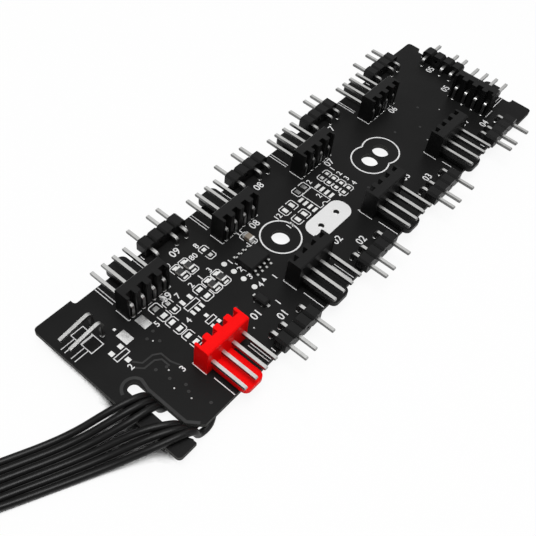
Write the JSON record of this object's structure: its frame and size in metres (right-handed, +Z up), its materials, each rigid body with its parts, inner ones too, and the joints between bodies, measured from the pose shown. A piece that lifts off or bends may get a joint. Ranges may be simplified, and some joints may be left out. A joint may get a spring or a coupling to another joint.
{
  "type": "pc fan controller hub",
  "caption": "Long bare circuit-board hub for computer fans, with right-angle fan and light pin headers along its edges and a multi-wire power and signal lead.",
  "frame": {"origin": "on the surface under the pin tails, under the middle of the hub's outline without its lead", "axes": "+X from the lead's end to the far end, +Z up out of the board's component side"},
  "size_m": [0.2242, 0.0525, 0.0139],
  "materials": {
    "board": "satin black solder mask",
    "black_plastic": "semi-gloss moulded",
    "red_plastic": "semi-gloss moulded",
    "tinned": "bright tin plate",
    "chip": "matte moulded",
    "tan_ceramic": "ceramic",
    "wire": "semi-gloss pvc"
  },
  "bodies": {
    "root": {"circuit_board": "board", "fan_header_1": "red_plastic", "fan_header_1_pins": "tinned", "led_header_1": "black_plastic", "led_header_1_pins": "tinned", "fan_header_2": "black_plastic", "fan_header_2_pins": "tinned", "led_header_2": "black_plastic", "led_header_2_pins": "tinned", "fan_header_3": "black_plastic", "fan_header_3_pins": "tinned", "led_header_3": "black_plastic", "led_header_3_pins": "tinned", "fan_header_4": "black_plastic", "fan_header_4_pins": "tinned", "led_header_4": "black_plastic", "led_header_4_pins": "tinned", "fan_header_5": "black_plastic", "fan_header_5_pins": "tinned", "led_header_5": "black_plastic", "led_header_5_pins": "tinned", "fan_header_6": "black_plastic", "fan_header_6_pins": "tinned", "led_header_6": "black_plastic", "led_header_6_pins": "tinned", "fan_header_7": "black_plastic", "fan_header_7_pins": "tinned", "led_header_7": "black_plastic", "led_header_7_pins": "tinned", "fan_header_8": "black_plastic", "fan_header_8_pins": "tinned", "led_header_8": "black_plastic", "led_header_8_pins": "tinned", "fan_header_9": "black_plastic", "fan_header_9_pins": "tinned", "led_header_9": "black_plastic", "led_header_9_pins": "tinned", "signal_pins": "tinned", "controller_chip": "chip", "controller_chip_leads": "tinned", "diode": "chip", "diode_leads": "tinned", "resistors": "chip", "capacitor": "tan_ceramic", "chip_ends": "tinned", "wire_cores": "tinned", "wire_1": "wire", "wire_2": "wire", "wire_3": "wire", "wire_4": "wire", "wire_5": "wire", "wire_6": "wire", "wire_coil": "wire", "cable_tie": "black_plastic", "power_plug": "black_plastic", "power_contacts": "tinned", "fan_plug": "black_plastic"}
  },
  "joints": []
}
